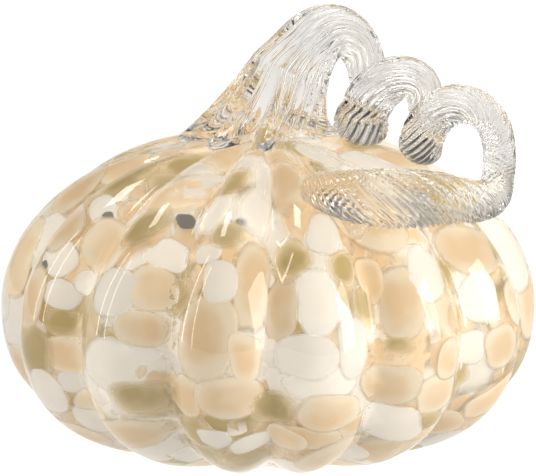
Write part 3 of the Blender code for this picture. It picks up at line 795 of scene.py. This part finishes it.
def makeStage():
    bpy.ops.mesh.primitive_plane_add(size=stage["size"], location=(0, 0, -stage["drop"]))
    floor = bpy.context.object
    floor.name = "floor"
    material, nodes, links = newMaterial("floor_white")
    out = nodes.new("ShaderNodeOutputMaterial")
    shader = nodes.new("ShaderNodeBsdfPrincipled")
    shader.inputs["Base Color"].default_value = stage["colour"]
    shader.inputs["Roughness"].default_value = stage["roughness"]
    shader.inputs["Emission Color"].default_value = (1, 1, 1, 1)
    path = nodes.new("ShaderNodeLightPath")
    glow = mapRange(nodes, links, path.outputs["Is Camera Ray"], *stage["glow"])
    links.new(glow, shader.inputs["Emission Strength"])
    links.new(shader.outputs[0], out.inputs[0])
    floor.data.materials.append(material)


light = dict(
    aim=(0, 0, 50 * mm), lampColour=(1.0, 0.955, 0.89),
    # lamp inside the hollow glass: power in watts, radius, colour
    glow=(0.07, 15 * mm, (1.0, 0.97, 0.91)),
    # place, width and height in metres, power in watts, and whether glass mirrors the lamp
    key=((1.0, -0.35, 0.36), (0.55, 0.8), 7.5, True),
    backStrip=((-1.0, 0.10, 0.45), (0.035, 1.1), 1.1, True),
    frontStrip=((-0.9, -0.25, 0.45), (0.035, 1.1), 1.1, True),
    fill=((-0.5, -1.0, 0.5), (0.8, 0.5), 2.4, False),
    top=((-0.3, 0.15, 1.0), (0.26, 0.20), 1.5, True),
    # surroundings by direction: behind the piece, to its sides, the band overhead and the ceiling
    behind=(-0.25, 0.25, 0.30, 0.83), beside=(0.50, 0.62, 1.0, 0.30),
    band=(0.42, 0.55, 1.0, 0.20), ceiling=(0.68, 0.80, 0.0, 0.45), tint=(1, 0.965, 0.90, 1),
)


def addGlow():
    # soft light inside the hollow glass that only brightens what is seen through the gaps
    lamp = bpy.data.lights.new("glow", "POINT")
    lamp.energy, lamp.shadow_soft_size, lamp.color = light["glow"]
    item = bpy.data.objects.new("glow", lamp)
    item.location = (0, 0, equator)
    item.visible_camera = False
    item.visible_glossy = False
    item.visible_transmission = False
    bpy.context.scene.collection.objects.link(item)


def addLamp(name):
    place, size, power, mirrored = light[name]
    lamp = bpy.data.lights.new(name, "AREA")
    lamp.shape = "RECTANGLE"
    lamp.size, lamp.size_y = size
    lamp.energy = power
    lamp.color = light["lampColour"]
    item = bpy.data.objects.new(name, lamp)
    item.location = place
    item.rotation_euler = (Vector(light["aim"]) - Vector(place)).to_track_quat("-Z", "Y").to_euler()
    item.visible_glossy = mirrored
    bpy.context.scene.collection.objects.link(item)


def makeLight():
    # white behind the piece, grey to the sides, overhead and behind the camera; plain white for
    # the camera itself
    world = bpy.data.worlds.new("studio")
    bpy.context.scene.world = world
    world.use_nodes = True
    nodes, links = world.node_tree.nodes, world.node_tree.links
    background = nodes["Background"]
    place = nodes.new("ShaderNodeTexCoord")
    axes = nodes.new("ShaderNodeSeparateXYZ")
    links.new(place.outputs["Generated"], axes.inputs[0])
    behind = mapRange(nodes, links, axes.outputs[1], *light["behind"])
    band = mapRange(nodes, links, axes.outputs[2], *light["band"])
    ceiling = mapRange(nodes, links, axes.outputs[2], *light["ceiling"])
    above = combine(nodes, links, "MAXIMUM", band, ceiling)
    sideways = nodes.new("ShaderNodeMath")
    sideways.operation = "ABSOLUTE"
    links.new(axes.outputs[0], sideways.inputs[0])
    beside = mapRange(nodes, links, sideways.outputs[0], *light["beside"])
    around = combine(nodes, links, "MULTIPLY", behind, beside)
    product = combine(nodes, links, "MULTIPLY", around, above)
    path = nodes.new("ShaderNodeLightPath")
    most = combine(nodes, links, "MAXIMUM", product, path.outputs["Is Camera Ray"])
    tint = mixColours(nodes, links, path.outputs["Is Camera Ray"])
    tint.inputs[6].default_value = light["tint"]
    tint.inputs[7].default_value = (1, 1, 1, 1)
    links.new(tint.outputs[2], background.inputs[0])
    links.new(most, background.inputs[1])
    for name in ("key", "backStrip", "frontStrip"):
        addLamp(name)
    addGlow()
    for name in ("fill", "top"):
        addLamp(name)


lens = dict(elevation=math.radians(13.2), distance=0.9, sensor=36, focal=215.4, shift=0.124)


def makeCamera():
    camera = bpy.data.cameras.new("camera")
    camera.sensor_width = lens["sensor"]
    camera.lens = lens["focal"]
    camera.shift_y = lens["shift"]
    item = bpy.data.objects.new("camera", camera)
    aim = Vector((0, 0, equator))
    elevation = lens["elevation"]
    item.location = aim + lens["distance"] * Vector((0, -math.cos(elevation), math.sin(elevation)))
    item.rotation_euler = (aim - item.location).to_track_quat("-Z", "Y").to_euler()
    bpy.context.scene.collection.objects.link(item)
    bpy.context.scene.camera = item


makeCamera()
makeStage()
makeLight()
bpy.context.scene.view_settings.view_transform = "Standard"
bpy.context.scene.cycles.transparent_max_bounces = 24        # a ray may cross many chips
print("stage, light and camera")
bodyPiece = makeBody()
bodyPiece.data.materials.append(clearGlass("casing_clear", clear["bodyColour"]))
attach(bodyPiece, "root")
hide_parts("outer_casing", "inner_bubble")
print("body")
slotOf = {m["slot"]: [s["node"] for s in frame["record"]["subparts"] if s["material_slot"] == m["slot"]]
          for m in frame["record"]["materials"]}
shading = chipShading()
for colour, piece in makeChips().items():
    look = chipFinish["looks"][colour]
    piece.data.materials.append(chipGlass(colour + "_chip_glass", shading, *look))
    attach(piece, "root")
    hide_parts(*slotOf[colour + "_chips"])
stemPiece = makeStem()
stemPiece.data.materials.append(clearGlass("stem_clear", clear["stemColour"]))
stemPiece.data.materials.append(fusedGlass("stem_fused"))
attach(stemPiece, "root")
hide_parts("stem_vine")
print("stem")
